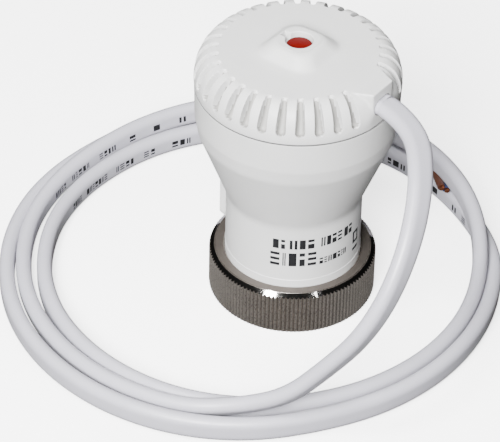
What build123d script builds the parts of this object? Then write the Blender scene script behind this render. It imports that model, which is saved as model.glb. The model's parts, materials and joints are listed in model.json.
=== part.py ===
"""Thermal actuator head for a small heating valve, as an assembly of separate parts.

Frame: origin at the centre of the union nut's bottom face, +Z up, millimetres.
The head is drawn with its cable outlet along +X and turned to OUTLET_AZIMUTH when it is written.
"""
import os
from math import cos, pi, radians, sin, tan

from build123d import *

# ---- driving dimensions ----------------------------------------------------------------------
OUTLET_AZIMUTH = -36.0      # direction of the cable outlet about Z, degrees from +X
RUN_GAP = 0.3               # air between parts that pass each other
SLIDE_GAP = 0.05            # radial play of a guided round part
FACE_GAP = 0.05             # air between flat faces that meet at a stop

# union nut, M30 x 1.5
NUT_R = 18.5
NUT_HEIGHT = 10.5
NUT_KNURL_TOP = 9.7
NUT_CROWN_R = 17.5
KNURL_TEETH = 126
KNURL_DEPTH = 0.35
THREAD_R = 14.19            # minor radius of M30 x 1.5
THREAD_MAJOR_R = 15.0
THREAD_LOW = 0.8
THREAD_TOP = 6.3
NUT_RELIEF_R = 15.9
NUT_WEB_LOW = 8.2
NUT_WEB_TOP = 9.6
NUT_WEB_R = 14.35
NUT_COLLAR_R = 15.25

# lower housing: neck, cone and skirt
NECK_R = 14.95
NECK_TOP = 26.5
NECK_BORE_R = 12.9
CONE_TOP_R = 21.4
CONE_TOP = 43.5
SHOULDER_R = 21.95
SHOULDER_TOP = 47.0
SKIRT_R = 22.1
SEAM = 54.4
SPIGOT_R = 14.0
SPIGOT_LOW = 6.4
SPIGOT_TOP = NUT_WEB_TOP + FACE_GAP
HOUSING_FLOOR_TOP = 9.4
BRIDGE_LEDGE = 30.0
WALL = 2.0
FRAME_LEDGE = 49.0
SKIRT_BORE_R = SKIRT_R - WALL
RIB_AZIMUTH = 208.0         # from the outlet, degrees
RIB_R = 16.3
RIB_WIDTH = 3.0
RIB_LOW = 17.5

# snap ring that keeps the nut on the spigot
RING_LOW = 6.95
RING_HEIGHT = 0.9
RING_IN_R = 13.05
RING_OUT_R = 15.3
RING_GROOVE_R = 13.0

# cap
CAP_R = 22.2
CAP_TOP = 63.1
CAP_BORE_R = 18.8
CAP_CEILING = 61.1
CAP_COVE_LOW = 58.8         # the cavity narrows from here up, under the grooves
CAP_COVE_R = 16.9
LIP_OUT_R = SKIRT_BORE_R - 0.1
LIP_LOW = 51.1
SNAP_BEAD = 0.3
SEAM_CHAMFER = 0.2
GROOVE_POSITIONS = 34       # equal divisions of the rim; three are taken by the outlet
GROOVE_R = 0.9
GROOVE_LOW = (21.35, 58.0)  # radius and height of the groove's round lower end
GROOVE_HIGH = (18.15, 63.55)
OUTLET_FACE_X = 21.8
OUTLET_FACE_WIDTH = 7.0
OUTLET_ROOT_WIDTH = 12.0
OUTLET_ROOT_X = 16.0
BOSS_TOP = 65.7
BOSS_BASE_HALF = 6.7
BOSS_TOP_HALF = 4.9
BOSS_CORNER_R = 3.2
INDICATOR_BORE_R = 2.85
KEY_SLOT_WIDTH = 1.5
KEY_SLOT_REACH = 4.15

# flat twin cable
CABLE_WIDTH = 5.6
CABLE_THICK = 3.4
CABLE_Z = 58.8
CABLE_PLAY = 0.3
SHEATH_END_X = 12.5
CORE_R = 0.95
CORE_PITCH = 2.1
CORE_DROP_X = 10.3
CORE_BEND_R = 2.0
SHEATH_OUT = 0.7            # how far the sheath stands out of the outlet before the free cable

# thrust train
BUSH_OUT_R = 6.5
BUSH_TOP = 14.0
STEM_R = 5.0
STEM_LOW = 7.6
FLANGE_R = 10.9
FLANGE_LOW = BUSH_TOP + FACE_GAP
FLANGE_THICK = 1.6
STRAP_IN = 11.25
STRAP_OUT = 12.15
STRAP_WIDTH = 5.0
CROSSBAR_LOW = 53.0
CROSSBAR_THICK = 1.4
FOOT_THICK = 1.0
FOOT_REACH = 9.2

# main spring
SPRING_WIRE = 1.6
SPRING_MEAN_R = 9.6
SPRING_TURNS = 4.5

# bridge, heater and expansion element
BRIDGE_R = 13.9
BRIDGE_THICK = 2.5
BRIDGE_TOP = BRIDGE_LEDGE + BRIDGE_THICK
CUP_R = 8.1
CUP_FLOOR = 1.2
CUP_RIM = 5.5
CONTACT_THICK = 0.4
HEATER_R = 6.0
HEATER_THICK = 2.5
CAPSULE_R = 7.0
CAPSULE_HEIGHT = 9.4
CAPSULE_WALL = 1.2
WAX_HEIGHT = 5.0
MEMBRANE_THICK = 1.0
GUIDE_R = 3.6
PISTON_R = 2.0
CLIP_Z = 42.4
CLIP_THICK = 0.6
TAB_WIDTH = 3.0
TAB_REACH = 11.4

# inner frame that carries the cable clamp
FRAME_TUBE_IN_R = 13.0
FRAME_TUBE_OUT_R = 14.2
FRAME_FLANGE_R = 19.9
FRAME_FLANGE_TOP = 51.0
PEDESTAL_X = (12.8, 18.3)
PEDESTAL_HALF = 6.2
CLAMP_X = (13.4, 17.0)
CLAMP_HALF = 5.5
CLAMP_LOW = CABLE_Z + CABLE_THICK / 2
CLAMP_THICK = 1.2
SCREW_Y = 4.1
SCREW_R = 0.9
SCREW_HEAD_R = 1.6
SCREW_LENGTH = 7.0

# indicator
INDICATOR_R = 2.6
INDICATOR_TOP = 64.7
INDICATOR_HEAD = 2.6
INDICATOR_STEM_R = 1.5

# free cable: a route from the outlet down to the coil, then a loose coil on the ground
COIL_CENTRE = (-9.5, 4.0)
COIL_OUTER = (-9.6, 1.9, 57.3)      # centre and radius of the coil's outside
COIL_INNER = (-6.4, 2.8, 46.9)      # centre and radius of the coil's inside
COIL_HUMPS = [                      # where one turn rides over others: angles, radii, top
    (62.0, 148.0, 48.2, 53.0, 9.6),
    (-4.0, 62.0, 48.6, 53.2, 12.6),
]
ROUTE = [
    (24.4, -20.6, 58.8),
    (25.3, -33.6, 55.9),
    (23.5, -43.8, 48.8),
    (19.4, -50.3, 38.8),
    (13.9, -52.7, 28.9),
    (7.0, -51.7, 19.6),
    (-0.8, -50.5, 10.4),
    (-10.8, -48.5, 5.6),
]
END_SHEATH = (32.0, 35.0, 6.6)      # where the sheath ends and the two cores come out
END_CORES_TO = (34.9, 23.6, 6.6)
END_SPREAD = 1.15
FERRULE_LENGTH = 4.0
FERRULE_R = 0.65


# ---- helpers ---------------------------------------------------------------------------------
def turned(*outline):
    """Solid of revolution about Z from (radius, height) corners."""
    return revolve(make_face(Polyline(*[(r, 0, z) for r, z in outline], close=True)), Axis.Z)


def disc(radius, low, high):
    """Round bar about Z between two heights."""
    return Pos(0, 0, low) * Cylinder(radius, high - low, align=(Align.CENTER, Align.CENTER, Align.MIN))


def ring(outer, inner, low, high):
    """Flat ring about Z."""
    return turned((inner, low), (outer, low), (outer, high), (inner, high))


def block(x, y, z):
    """Box from its (low, high) along each axis."""
    sizes = [b - a for a, b in (x, y, z)]
    centre = [(a + b) / 2 for a, b in (x, y, z)]
    return Pos(*centre) * Box(*sizes)


def stadium_bar(width, thick, x0, x1, z):
    """Flat bar with round edges along X: wide along Y, thin along Z."""
    section = Plane((x0, 0, z), x_dir=(0, 1, 0), z_dir=(1, 0, 0)) * SlotOverall(width, thick)
    return extrude(section, amount=x1 - x0)


def wire(points, bends, radius):
    """Round wire through straight runs joined by arcs."""
    path = FilletPolyline(*points, radius=bends)
    start = Plane(path @ 0, z_dir=path % 0)
    return sweep(start * Circle(radius), path=path)


def spin(shape, angle):
    return Rot(0, 0, angle) * shape


def save(node, shape, azimuth=OUTLET_AZIMUTH):
    """Write one node's solids, turned to the outlet's direction."""
    solids = spin(shape, azimuth).solids()
    export_step(Compound(label=node, children=solids) if len(solids) > 1 else solids[0],
                f"parts/{node}.step")


# ---- union nut and its snap ring -------------------------------------------------------------
def union_nut():
    """Knurled M30 x 1.5 nut with a web that hangs on the housing's spigot."""
    body = turned(
        (THREAD_MAJOR_R, 0), (NUT_R - 0.5, 0), (NUT_R, 0.5), (NUT_R, NUT_KNURL_TOP),
        (NUT_CROWN_R, NUT_HEIGHT), (NUT_COLLAR_R, NUT_HEIGHT), (NUT_COLLAR_R, NUT_WEB_TOP),
        (NUT_WEB_R, NUT_WEB_TOP), (NUT_WEB_R, NUT_WEB_LOW), (NUT_RELIEF_R, NUT_WEB_LOW),
        (NUT_RELIEF_R, THREAD_TOP + 0.4), (THREAD_R, THREAD_TOP), (THREAD_R, THREAD_LOW))
    step = 360 / KNURL_TEETH
    root = NUT_R - KNURL_DEPTH
    star = []
    for i in range(KNURL_TEETH):
        for radius, share in ((root, 0.0), (NUT_R, 0.35), (NUT_R, 0.65)):
            a = radians((i + share) * step)
            star.append((radius * cos(a), radius * sin(a), 0))
    knurl = extrude(make_face(Polyline(*star, close=True)), amount=NUT_KNURL_TOP)
    crown = disc(NUT_R, NUT_KNURL_TOP, NUT_HEIGHT)
    return body & (knurl + crown)


def snap_ring():
    """Open spring ring in the spigot's groove, under the nut's web."""
    whole = ring(RING_OUT_R, RING_IN_R, RING_LOW, RING_LOW + RING_HEIGHT)
    gap = block((RING_IN_R - 1, RING_OUT_R + 1), (-1.5, 1.5), (RING_LOW - 1, RING_LOW + 2))
    return whole - gap


# ---- housing and cap -------------------------------------------------------------------------
def lower_housing():
    """Spigot, label neck, cone and skirt in one moulding, with ledges for the bridge and frame."""
    outside = turned(
        (0, SPIGOT_LOW), (SPIGOT_R - 0.4, SPIGOT_LOW), (SPIGOT_R, SPIGOT_LOW + 0.4),
        (SPIGOT_R, SPIGOT_TOP), (NECK_R, SPIGOT_TOP), (NECK_R, NECK_TOP),
        (CONE_TOP_R, CONE_TOP), (SHOULDER_R, SHOULDER_TOP), (SKIRT_R, SHOULDER_TOP + 2),
        (SKIRT_R, SEAM - SEAM_CHAMFER), (SKIRT_R - SEAM_CHAMFER, SEAM), (0, SEAM))
    cavity = turned(
        (0, HOUSING_FLOOR_TOP), (NECK_BORE_R, HOUSING_FLOOR_TOP), (NECK_BORE_R, BRIDGE_LEDGE),
        (BRIDGE_R + 0.1, BRIDGE_LEDGE), (BRIDGE_R + 0.4, BRIDGE_TOP), (CONE_TOP_R - WALL, CONE_TOP),
        (CONE_TOP_R - WALL, FRAME_LEDGE), (SKIRT_BORE_R, FRAME_LEDGE),
        (SKIRT_BORE_R, SEAM), (0, SEAM))
    rib = block((NECK_R - 1, RIB_R), (-RIB_WIDTH / 2, RIB_WIDTH / 2), (RIB_LOW, NECK_TOP + 4.5))
    lead = Pos(RIB_R, 0, RIB_LOW) * Rot(0, 45, 0) * Box(1.6, RIB_WIDTH + 1, 1.6)
    body = outside + spin(rib - lead, RIB_AZIMUTH) - cavity
    body -= disc(BUSH_OUT_R, SPIGOT_LOW - 1, HOUSING_FLOOR_TOP + 1)
    body -= ring(SPIGOT_R + 1, RING_GROOVE_R, RING_LOW - 0.05, RING_LOW + RING_HEIGHT + 0.05)
    bead_groove = turned(
        (SKIRT_BORE_R - 0.5, 51.7), (SKIRT_BORE_R, 51.7), (SKIRT_BORE_R + SNAP_BEAD, 52.0),
        (SKIRT_BORE_R + SNAP_BEAD, 52.5), (SKIRT_BORE_R, 52.8), (SKIRT_BORE_R - 0.5, 52.8))
    return body - bead_groove


def groove_cutter():
    """Round-ended cutter for one vent groove, which fades out at the cap's flat top."""
    (x0, z0), (x1, z1) = GROOVE_LOW, GROOVE_HIGH
    rise = Vector(x1 - x0, 0, z1 - z0)
    rod = extrude(Plane((x0, 0, z0), z_dir=rise) * Circle(GROOVE_R), amount=rise.length)
    outward = make_face(Polyline(
        (x0, -GROOVE_R, z0), (x1, -GROOVE_R, z1), (x1 + 8, -GROOVE_R, z1), (x0 + 8, -GROOVE_R, z0),
        close=True))
    slot = extrude(outward, amount=2 * GROOVE_R, dir=(0, 1, 0))
    end = Pos(x0, 0, z0) * Rot(0, 90, 0) * Cylinder(GROOVE_R, 8, align=(Align.CENTER, Align.CENTER, Align.MIN))
    return rod + slot + end + Pos(x0, 0, z0) * Sphere(GROOVE_R)


def cap():
    """Upper shell: rim with vent grooves, raised boss with the indicator hole, flat cable outlet."""
    shell = turned(
        (0, LIP_LOW), (LIP_OUT_R, LIP_LOW), (LIP_OUT_R, 51.9), (LIP_OUT_R + SNAP_BEAD, 52.15),
        (LIP_OUT_R + SNAP_BEAD, 52.35), (LIP_OUT_R, 52.6), (LIP_OUT_R, SEAM + 0.03),
        (SKIRT_R - SEAM_CHAMFER, SEAM + 0.03), (SKIRT_R, SEAM + SEAM_CHAMFER), (CAP_R, 56.0),
        (21.98, 58.0), (21.45, 59.7), (20.6, 61.15), (19.5, 62.3), (18.4, 62.9), (17.2, CAP_TOP),
        (0, CAP_TOP))
    root, face = OUTLET_ROOT_WIDTH / 2, OUTLET_FACE_WIDTH / 2
    outlet = extrude(make_face(Polyline(
        (OUTLET_ROOT_X, -root, SEAM + 1), (OUTLET_FACE_X, -face, SEAM + 1),
        (OUTLET_FACE_X, face, SEAM + 1), (OUTLET_ROOT_X, root, SEAM + 1), close=True)),
        amount=CAP_TOP - SEAM - 1)
    cavity = turned((0, LIP_LOW - 1), (CAP_BORE_R, LIP_LOW - 1), (CAP_BORE_R, CAP_COVE_LOW),
                    (CAP_COVE_R, CAP_CEILING), (0, CAP_CEILING))
    body = shell + outlet - cavity
    body -= block((OUTLET_FACE_X, CAP_R + 1), (-6, 6), (SEAM + 0.03, CAP_TOP + 1))

    step = 360 / GROOVE_POSITIONS
    cutter = groove_cutter()
    body -= [spin(cutter, i * step) for i in range(2, GROOVE_POSITIONS - 1)]

    base = Plane.XY.offset(CAP_TOP - 0.2) * RectangleRounded(
        2 * BOSS_BASE_HALF, 2 * BOSS_BASE_HALF, BOSS_CORNER_R)
    top = Plane.XY.offset(BOSS_TOP) * RectangleRounded(
        2 * BOSS_TOP_HALF, 2 * BOSS_TOP_HALF, BOSS_CORNER_R - 0.6)
    body += loft([base, top])
    body -= disc(INDICATOR_BORE_R, CAP_CEILING - 1, BOSS_TOP + 1)
    body -= block((-KEY_SLOT_REACH, 0), (-KEY_SLOT_WIDTH / 2, KEY_SLOT_WIDTH / 2),
                  (BOSS_TOP - 2.2, BOSS_TOP + 1))

    body -= stadium_bar(CABLE_WIDTH + 2 * CABLE_PLAY, CABLE_THICK + 2 * CABLE_PLAY,
                        CAP_BORE_R - 2, CAP_R + 1, CABLE_Z)
    body -= block((CLAMP_X[0] - RUN_GAP, CLAMP_X[1] + RUN_GAP),
                  (-CLAMP_HALF - RUN_GAP, CLAMP_HALF + RUN_GAP),
                  (CAP_COVE_LOW - 1, CLAMP_LOW + CLAMP_THICK + RUN_GAP))
    return body


# ---- thrust train ----------------------------------------------------------------------------
def guide_bush():
    """Brass bush in the housing's floor; its collar stops the thrust piece."""
    return turned(
        (STEM_R + SLIDE_GAP, SPIGOT_LOW + 0.2), (BUSH_OUT_R, SPIGOT_LOW + 0.2),
        (BUSH_OUT_R, HOUSING_FLOOR_TOP), (BUSH_OUT_R + 1.2, HOUSING_FLOOR_TOP),
        (BUSH_OUT_R + 1.2, HOUSING_FLOOR_TOP + 1), (BUSH_OUT_R, HOUSING_FLOOR_TOP + 1),
        (BUSH_OUT_R, BUSH_TOP), (STEM_R + SLIDE_GAP, BUSH_TOP))


def thrust_piece():
    """Plunger that presses on the valve's pin: guided stem below, spring flange above."""
    flange_top = FLANGE_LOW + FLANGE_THICK
    return turned(
        (0, STEM_LOW), (STEM_R - 0.5, STEM_LOW), (STEM_R, STEM_LOW + 0.5), (STEM_R, FLANGE_LOW),
        (FLANGE_R, FLANGE_LOW), (FLANGE_R, flange_top), (SPRING_MEAN_R - 1.5, flange_top),
        (SPRING_MEAN_R - 1.9, flange_top + 1.2), (0, flange_top + 1.2))


def yoke():
    """Sheet-steel stirrup: two straps, feet under the flange and a crossbar over the piston."""
    top = CROSSBAR_LOW + CROSSBAR_THICK
    half = STRAP_WIDTH / 2
    bar = block((-half, half), (-STRAP_OUT, STRAP_OUT), (CROSSBAR_LOW, top))
    for side in (1, -1):
        inner, outer, reach = sorted((side * STRAP_IN, side * STRAP_OUT)), side * STRAP_OUT, side * FOOT_REACH
        bar += block((-half, half), tuple(inner), (FLANGE_LOW - FOOT_THICK - 0.02, top))
        bar += block((-half, half), tuple(sorted((reach, outer))),
                     (FLANGE_LOW - FOOT_THICK - 0.02, FLANGE_LOW - 0.02))
    return bar


def main_spring():
    """Closing spring between the thrust piece and the bridge, with closed coils at both ends."""
    low = FLANGE_LOW + FLANGE_THICK + SPRING_WIRE / 2 + 0.02
    high = BRIDGE_LEDGE - SPRING_WIRE / 2 - 0.02
    helix = Pos(0, 0, low) * Helix((high - low) / SPRING_TURNS, high - low, SPRING_MEAN_R)
    start = Plane(helix @ 0, z_dir=helix % 0)
    return sweep(start * Circle(SPRING_WIRE / 2), path=helix, is_frenet=True)


# ---- bridge, heater and expansion element ----------------------------------------------------
def bridge():
    """Steel plate on the housing's ledge; the straps pass through its two slots."""
    plate = disc(BRIDGE_R, BRIDGE_LEDGE, BRIDGE_TOP)
    for side in (1, -1):
        slot = sorted((side * (STRAP_IN - RUN_GAP), side * (STRAP_OUT + RUN_GAP)))
        plate -= block((-STRAP_WIDTH / 2 - RUN_GAP, STRAP_WIDTH / 2 + RUN_GAP), tuple(slot),
                       (BRIDGE_LEDGE - 1, BRIDGE_TOP + 1))
    return plate


def insulating_cup():
    """Cup that keeps the live heater off the bridge, open at the side for the contact's tab."""
    cup = ring(CUP_R, 0, BRIDGE_TOP, BRIDGE_TOP + CUP_FLOOR)
    cup += ring(CUP_R, CAPSULE_R + 0.1, BRIDGE_TOP, BRIDGE_TOP + CUP_RIM)
    return cup - block((CAPSULE_R - 1, CUP_R + 1), (-TAB_WIDTH / 2 - 0.3 + CORE_PITCH / 2,
                       TAB_WIDTH / 2 + 0.3 + CORE_PITCH / 2),
                       (BRIDGE_TOP + CUP_FLOOR, BRIDGE_TOP + CUP_RIM + 1))


CONTACT_LOW = BRIDGE_TOP + CUP_FLOOR
HEATER_LOW = CONTACT_LOW + CONTACT_THICK
CAPSULE_LOW = HEATER_LOW + HEATER_THICK
CAPSULE_TOP = CAPSULE_LOW + CAPSULE_HEIGHT
WAX_LOW = CAPSULE_LOW + CAPSULE_WALL
MEMBRANE_LOW = WAX_LOW + WAX_HEIGHT
GUIDE_LOW = MEMBRANE_LOW + MEMBRANE_THICK


def tab(low, thick, y):
    """Solder tab of a contact, on the outlet's side."""
    return block((CAPSULE_R - 1.2, TAB_REACH), (y - TAB_WIDTH / 2, y + TAB_WIDTH / 2), (low, low + thick))


def lower_contact():
    return disc(HEATER_R + 0.5, CONTACT_LOW, HEATER_LOW) + tab(CONTACT_LOW, CONTACT_THICK, CORE_PITCH / 2)


def ptc_heater():
    return disc(HEATER_R, HEATER_LOW, CAPSULE_LOW)


def capsule_shell():
    """Brass cup of the expansion element, rolled over the guide's flange."""
    inner = CAPSULE_R - CAPSULE_WALL
    return turned(
        (0, CAPSULE_LOW), (CAPSULE_R, CAPSULE_LOW), (CAPSULE_R, CAPSULE_TOP),
        (GUIDE_R + 0.05, CAPSULE_TOP), (GUIDE_R + 0.05, CAPSULE_TOP - 0.8),
        (inner, CAPSULE_TOP - 0.8), (inner, WAX_LOW), (0, WAX_LOW))


def wax_charge():
    return disc(CAPSULE_R - CAPSULE_WALL, WAX_LOW, MEMBRANE_LOW)


def rubber_membrane():
    return disc(CAPSULE_R - CAPSULE_WALL, MEMBRANE_LOW, GUIDE_LOW)


def piston_guide():
    """Flanged guide of the piston, clamped in the capsule's rolled rim."""
    inner = CAPSULE_R - CAPSULE_WALL
    top = CAPSULE_TOP + 2.6
    bore = PISTON_R + SLIDE_GAP
    return turned(
        (bore, GUIDE_LOW), (inner, GUIDE_LOW), (inner, CAPSULE_TOP - 0.8),
        (GUIDE_R, CAPSULE_TOP - 0.8), (GUIDE_R, top - 0.5), (GUIDE_R - 0.5, top), (bore, top))


def piston():
    return turned((0, GUIDE_LOW + FACE_GAP), (PISTON_R, GUIDE_LOW + FACE_GAP),
                  (PISTON_R, CROSSBAR_LOW - 0.4), (PISTON_R - 0.4, CROSSBAR_LOW), (0, CROSSBAR_LOW))


def upper_contact():
    """Spring clip round the capsule, open at the back, with its solder tab."""
    clip = ring(CAPSULE_R + 0.9, CAPSULE_R + 0.02, CLIP_Z, CLIP_Z + 4 * CLIP_THICK)
    clip -= block((-CAPSULE_R - 2, 0), (-1.5, 1.5), (CLIP_Z - 1, CLIP_Z + 4))
    arm = block((CAPSULE_R + 0.3, TAB_REACH), (-CORE_PITCH / 2 - TAB_WIDTH / 2, -CORE_PITCH / 2 + 0.4),
                (CLIP_Z, CLIP_Z + CLIP_THICK))
    return clip + arm


# ---- inner frame and cable fixing ------------------------------------------------------------
def inner_frame():
    """Chassis between bridge and cap: spacer tube, flange on the skirt's ledge, clamp pedestal."""
    body = ring(FRAME_TUBE_OUT_R, FRAME_TUBE_IN_R, BRIDGE_TOP, FRAME_FLANGE_TOP)
    body += ring(FRAME_FLANGE_R, FRAME_TUBE_IN_R, FRAME_LEDGE, FRAME_FLANGE_TOP)
    pedestal = block(PEDESTAL_X, (-PEDESTAL_HALF, PEDESTAL_HALF),
                     (FRAME_LEDGE + 0.5, CABLE_Z))
    body += pedestal & disc(CAP_BORE_R - RUN_GAP, FRAME_LEDGE, CAP_TOP)
    body += block(CLAMP_X, (-CLAMP_HALF, CLAMP_HALF), (CABLE_Z - 1, CLAMP_LOW))
    body -= stadium_bar(CABLE_WIDTH + 0.04, CABLE_THICK + 0.04, PEDESTAL_X[0] - 1, CAP_R, CABLE_Z)
    body -= block((PEDESTAL_X[0] - 1, CAP_R), (-CABLE_WIDTH / 2 - 0.02, CABLE_WIDTH / 2 + 0.02),
                  (CABLE_Z, CLAMP_LOW + 1))
    for y in (SCREW_Y, -SCREW_Y):
        body -= Pos((CLAMP_X[0] + CLAMP_X[1]) / 2, y, 0) * disc(
            SCREW_R, CLAMP_LOW + CLAMP_THICK - SCREW_LENGTH, CLAMP_LOW + 1)
    return body


def cable_clamp():
    """Bar across the flat cable with two countersunk holes."""
    top = CLAMP_LOW + CLAMP_THICK
    bar = block(CLAMP_X, (-CLAMP_HALF, CLAMP_HALF), (CLAMP_LOW + 0.02, top))
    for y in (SCREW_Y, -SCREW_Y):
        bar -= Pos((CLAMP_X[0] + CLAMP_X[1]) / 2, y, 0) * screw_profile(0.03)
    return bar


def screw_profile(extra=0.0):
    """Countersunk screw about Z, grown by a small amount for its hole."""
    top = CLAMP_LOW + CLAMP_THICK
    low = top - SCREW_LENGTH
    return turned((0, low), (SCREW_R + extra, low), (SCREW_R + extra, top - 0.9 - extra),
                  (SCREW_HEAD_R + extra, top - 0.1), (SCREW_HEAD_R + extra, top), (0, top))


def clamp_screws():
    middle = (CLAMP_X[0] + CLAMP_X[1]) / 2
    screw = screw_profile() - block((-2, 2), (-0.2, 0.2),
                                    (CLAMP_LOW + CLAMP_THICK - 0.4, CLAMP_LOW + CLAMP_THICK + 1))
    return [Pos(middle, y, 0) * screw for y in (SCREW_Y, -SCREW_Y)]


def cable_sheath():
    """Stretch of the flat sheath inside the head, from the outlet's face to its stripped end."""
    return stadium_bar(CABLE_WIDTH, CABLE_THICK, SHEATH_END_X, OUTLET_FACE_X + SHEATH_OUT, CABLE_Z)


def core(y, low):
    """One insulated core: out of the sheath, over a bend and down to its contact."""
    return wire([(SHEATH_END_X, y, CABLE_Z), (CORE_DROP_X, y, CABLE_Z), (CORE_DROP_X, y, low)],
                CORE_BEND_R, CORE_R)


# ---- indicator -------------------------------------------------------------------------------
def indicator():
    """Red position button on the crossbar, guided in the boss, with a slightly domed top."""
    foot = CROSSBAR_LOW + CROSSBAR_THICK
    dome_r = (INDICATOR_R ** 2 + 0.2 ** 2) / (2 * 0.2)
    head = disc(INDICATOR_R, INDICATOR_TOP - INDICATOR_HEAD, INDICATOR_TOP + 1)
    head &= Pos(0, 0, INDICATOR_TOP - dome_r) * Sphere(dome_r)
    return head + disc(INDICATOR_STEM_R, foot, INDICATOR_TOP - INDICATOR_HEAD + 0.5) + ring(
        3.2, 0, foot, foot + 0.8)


# ---- free cable ------------------------------------------------------------------------------
def outlet_point():
    """Centre of the cable just outside the outlet's face, in the written frame."""
    reach, a = OUTLET_FACE_X + SHEATH_OUT, radians(OUTLET_AZIMUTH)
    return (reach * cos(a), reach * sin(a), CABLE_Z)


def bend_radii(points):
    """Arc radius at each inner point: 0.45 of the shorter run over the tangent of half the turn."""
    radii = []
    for a, b, c in zip(points, points[1:], points[2:]):
        before, after = Vector(*b) - Vector(*a), Vector(*c) - Vector(*b)
        half_turn = radians(before.get_angle(after)) / 2
        radii.append(0.45 * min(before.length, after.length) / tan(half_turn))
    return radii


def cable_drop():
    """Tube along the stretch from the outlet down to the coil."""
    points = [outlet_point()] + ROUTE
    radii = bend_radii(points)
    print("cable bend radii", [round(r, 1) for r in radii])
    path = FilletPolyline(*points, radius=radii)
    tube = sweep(Plane(path @ 0, z_dir=path % 0) * Circle(CABLE_WIDTH / 2), path=path)
    print("tube volume", round(tube.volume, 1), "section x length",
          round(pi * CABLE_WIDTH ** 2 / 4 * path.length, 1), "length", round(path.length, 1))
    return tube


def arc_wall(start, stop, inner, outer, high):
    """Part of a ring about the coil's centre between two angles."""
    face = make_face(Polyline((inner, 0, 1), (outer, 0, 1), (outer, 0, high), (inner, 0, high), close=True))
    sector = revolve(face, Axis.Z, revolution_arc=stop - start)
    return Pos(*COIL_CENTRE, 0) * spin(sector, start)


def cable_coil():
    """Outer shape of the loose coil on the ground, with humps where a turn rides over others."""
    x, y, radius = COIL_OUTER
    body = Pos(x, y, 0) * disc(radius, 0, CABLE_WIDTH)
    x, y, radius = COIL_INNER
    body -= Pos(x, y, 0) * disc(radius, -1, CABLE_WIDTH + 1)
    for start, stop, inner, outer, high in COIL_HUMPS:
        body += arc_wall(start, stop, inner, outer, high)
    return body - end_pocket()


def end_frame():
    """Plane at the stripped end of the cable, Z along the cores and X level."""
    along = Vector(*END_CORES_TO) - Vector(*END_SHEATH)
    return Plane(END_SHEATH, x_dir=(along.Y, -along.X, 0), z_dir=along), along.length


def end_pocket():
    """Room in the coil for the stripped end."""
    plane, length = end_frame()
    return Plane(plane.origin, x_dir=plane.x_dir, z_dir=plane.z_dir) * Pos(0, 0, length / 2) * Box(
        2 * END_SPREAD + 3.4, 5.0, length + 0.6)


def end_core(side):
    plane, length = end_frame()
    place = plane * Pos(side * END_SPREAD, 0, 0)
    return place * Cylinder(CORE_R, length - FERRULE_LENGTH, align=(Align.CENTER, Align.CENTER, Align.MIN))


def end_ferrules():
    plane, length = end_frame()
    return [plane * Pos(side * END_SPREAD, 0, length - FERRULE_LENGTH) * Cylinder(
        FERRULE_R, FERRULE_LENGTH, align=(Align.CENTER, Align.CENTER, Align.MIN)) for side in (1, -1)]


# ---- write every node ------------------------------------------------------------------------
def as_group(shapes):
    return Compound(children=shapes)


os.makedirs("parts", exist_ok=True)
HEAD_NODES = {
    "union_nut": union_nut, "snap_ring": snap_ring, "lower_housing": lower_housing, "cap": cap,
    "guide_bush": guide_bush, "thrust_piece": thrust_piece, "yoke": yoke, "main_spring": main_spring,
    "bridge": bridge, "insulating_cup": insulating_cup, "lower_contact": lower_contact,
    "ptc_heater": ptc_heater, "capsule_shell": capsule_shell, "wax_charge": wax_charge,
    "rubber_membrane": rubber_membrane, "piston_guide": piston_guide, "piston": piston,
    "upper_contact": upper_contact, "inner_frame": inner_frame, "cable_clamp": cable_clamp,
    "cable_sheath": cable_sheath, "indicator": indicator,
}
for node, make in HEAD_NODES.items():
    save(node, make())
save("clamp_screws", as_group(clamp_screws()))
save("core_brown", core(CORE_PITCH / 2, HEATER_LOW))
save("core_blue", core(-CORE_PITCH / 2, CLIP_Z + CLIP_THICK))

CORD_NODES = {"cable_drop": cable_drop, "cable_coil": cable_coil}
for node, make in CORD_NODES.items():
    save(node, make(), 0)
save("end_core_brown", end_core(1), 0)
save("end_core_blue", end_core(-1), 0)
save("end_ferrules", as_group(end_ferrules()), 0)
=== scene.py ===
"""Looks of a thermal valve actuator head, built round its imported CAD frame.

Lengths are in millimetres in the frame's axes, and MM turns them into metres where a mesh,
curve, light or camera is made.
"""
import json
import math

import bmesh
import bpy
import numpy as np
from mathutils import Matrix, Vector


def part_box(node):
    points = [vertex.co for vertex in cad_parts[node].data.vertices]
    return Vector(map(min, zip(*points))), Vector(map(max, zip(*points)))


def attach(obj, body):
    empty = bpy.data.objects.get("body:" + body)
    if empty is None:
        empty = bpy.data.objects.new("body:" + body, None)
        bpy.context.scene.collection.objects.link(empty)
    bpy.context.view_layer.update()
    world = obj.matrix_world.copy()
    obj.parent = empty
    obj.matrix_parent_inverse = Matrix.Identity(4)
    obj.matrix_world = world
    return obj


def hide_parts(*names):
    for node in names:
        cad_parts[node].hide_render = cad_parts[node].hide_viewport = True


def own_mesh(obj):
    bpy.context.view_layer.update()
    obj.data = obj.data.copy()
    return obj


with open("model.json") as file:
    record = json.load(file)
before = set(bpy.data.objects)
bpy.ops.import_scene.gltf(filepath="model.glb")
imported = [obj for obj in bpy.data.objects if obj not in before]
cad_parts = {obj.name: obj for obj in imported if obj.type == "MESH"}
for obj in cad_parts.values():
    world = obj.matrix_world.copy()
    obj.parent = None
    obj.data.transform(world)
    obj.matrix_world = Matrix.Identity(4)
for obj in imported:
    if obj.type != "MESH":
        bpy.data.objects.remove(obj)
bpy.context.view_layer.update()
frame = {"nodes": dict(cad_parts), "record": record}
MM = 0.001


def box_mm(node):
    """Lowest and highest corner of a CAD node, in millimetres."""
    low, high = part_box(node)
    return np.array(low) / MM, np.array(high) / MM


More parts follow.
